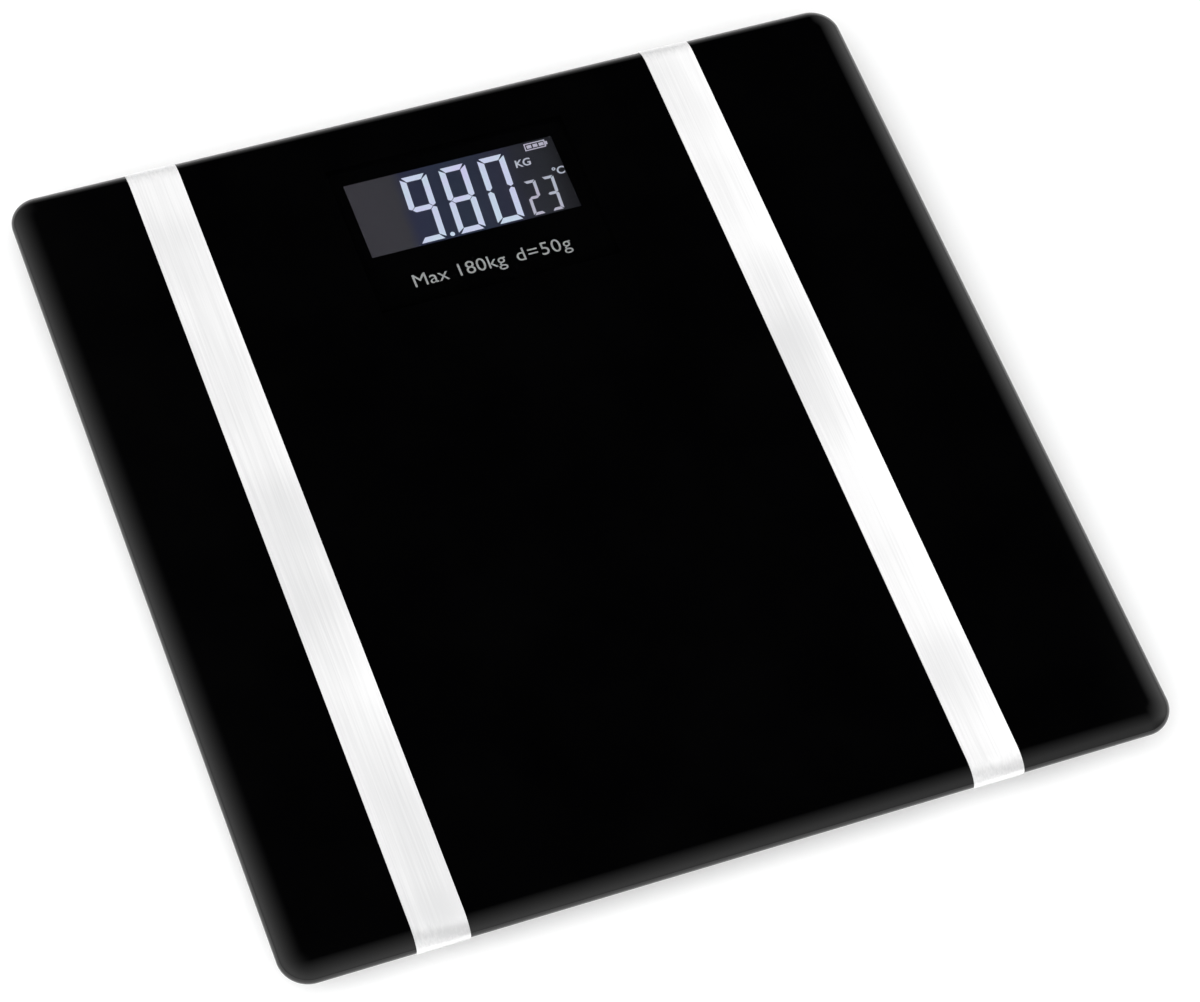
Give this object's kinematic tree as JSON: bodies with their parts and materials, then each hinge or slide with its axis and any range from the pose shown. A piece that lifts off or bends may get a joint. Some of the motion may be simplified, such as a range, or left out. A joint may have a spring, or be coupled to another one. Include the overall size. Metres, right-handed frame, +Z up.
{
  "type": "digital bathroom scale",
  "caption": "Square bathroom scale: smoked glass platform with steel electrode strips and a backlit display, on a shallow tray carried by load-cell feet.",
  "frame": {"origin": "on the floor, under the middle of the platform", "axes": "+Z up, +Y towards the display end, +X to the right of a person who reads the display"},
  "size_m": [0.3, 0.3006, 0.0253],
  "materials": {
    "platform_glass": "smoked tempered glass, polished rounded edge",
    "back_print": "black enamel screen print",
    "electrode_steel": "satin stainless steel foil, fine brushing along the strip",
    "foam_tape": "closed-cell foam tape",
    "tray_plastic": "black moulded ABS, fine spark texture",
    "plated_steel": "zinc and nickel plate",
    "gasket_foam": "black foam gasket",
    "lcd_glass": "negative liquid crystal cell",
    "light_guide": "frosted light guide, blue-white",
    "frame_plastic": "white moulded ABS",
    "conductive_rubber": "striped conductive elastomer",
    "board_laminate": "green solder mask on glass fibre laminate",
    "epoxy": "glossy black epoxy drop",
    "component_bodies": "ceramic and plastic component bodies",
    "header_plastic": "ivory nylon",
    "sensor_bead": "dark glass bead on tinned legs",
    "switch_plastic": "black nylon",
    "button_plastic": "grey moulded ABS",
    "holder_plastic": "glass-filled nylon, dark grey",
    "load_cell_steel": "nickel-plated alloy steel stamping",
    "silicone_seal": "white silicone",
    "lead_red": "PVC insulation",
    "lead_black": "PVC insulation",
    "foot_plastic": "black moulded ABS",
    "foot_rubber": "grey-black rubber",
    "cell_jacket": "printed metal jacket, no lettering"
  },
  "bodies": {
    "platform": {"glass_platform": "platform_glass", "back_print": "back_print", "left_electrode_strip": "electrode_steel", "right_electrode_strip": "electrode_steel", "mounting_tape": "foam_tape", "base_tray": "tray_plastic", "tray_screws": "plated_steel", "display_gasket": "gasket_foam", "lcd_panel": "lcd_glass", "backlight_panel": "light_guide", "display_frame": "frame_plastic", "zebra_connectors": "conductive_rubber", "circuit_board": "board_laminate", "controller_blob": "epoxy", "board_components": "component_bodies", "lead_headers": "header_plastic", "temperature_sensor": "sensor_bead", "board_screws": "plated_steel", "switch_body": "switch_plastic", "holder_front_left": "holder_plastic", "holder_front_right": "holder_plastic", "holder_rear_left": "holder_plastic", "holder_rear_right": "holder_plastic", "load_cell_front_left": "load_cell_steel", "load_cell_front_right": "load_cell_steel", "load_cell_rear_left": "load_cell_steel", "load_cell_rear_right": "load_cell_steel", "gauge_seals": "silicone_seal", "leads_front_left": "lead_red", "leads_front_right": "lead_red", "leads_rear_left": "lead_red", "leads_rear_right": "lead_red", "battery_front": "cell_jacket", "battery_rear": "cell_jacket", "battery_springs": "plated_steel", "positive_contacts": "plated_steel", "contact_plates": "plated_steel", "battery_leads": "lead_red", "electrode_leads": "lead_black", "lead_clips": "holder_plastic"},
    "front_left_foot": {"foot_front_left": "foot_plastic", "pad_front_left": "foot_rubber"},
    "front_right_foot": {"foot_front_right": "foot_plastic", "pad_front_right": "foot_rubber"},
    "rear_left_foot": {"foot_rear_left": "foot_plastic", "pad_rear_left": "foot_rubber"},
    "rear_right_foot": {"foot_rear_right": "foot_plastic", "pad_rear_right": "foot_rubber"},
    "battery_door": {"battery_door": "tray_plastic"},
    "unit_button": {"unit_button": "button_plastic", "switch_stem": "button_plastic"}
  },
  "joints": [
    {"name": "front_left_foot_press", "type": "slide", "parent": "platform", "child": "front_left_foot", "axis": [0, 0, 1], "range_m": [0, 0.0005], "stiffness_N_per_m": 1000, "springref_m": -0.0055, "deforming": ["load_cell_front_left"]},
    {"name": "front_right_foot_press", "type": "slide", "parent": "platform", "child": "front_right_foot", "axis": [0, 0, 1], "range_m": [0, 0.0005], "stiffness_N_per_m": 1000, "springref_m": -0.0055, "deforming": ["load_cell_front_right"]},
    {"name": "rear_left_foot_press", "type": "slide", "parent": "platform", "child": "rear_left_foot", "axis": [0, 0, 1], "range_m": [0, 0.0005], "stiffness_N_per_m": 1000, "springref_m": -0.0055, "deforming": ["load_cell_rear_left"]},
    {"name": "rear_right_foot_press", "type": "slide", "parent": "platform", "child": "rear_right_foot", "axis": [0, 0, 1], "range_m": [0, 0.0005], "stiffness_N_per_m": 1000, "springref_m": -0.0055, "deforming": ["load_cell_rear_right"]},
    {"name": "battery_door_hinge", "type": "hinge", "parent": "platform", "child": "battery_door", "pos_m": [0, 0.0187, 0.0049], "axis": [-1, 0, 0], "range_deg": [0, 85]},
    {"name": "unit_button_press", "type": "slide", "parent": "platform", "child": "unit_button", "axis": [0, 0, 1], "range_m": [0, 0.0005], "stiffness_N_per_m": 500, "springref_m": -0.0005}
  ]
}
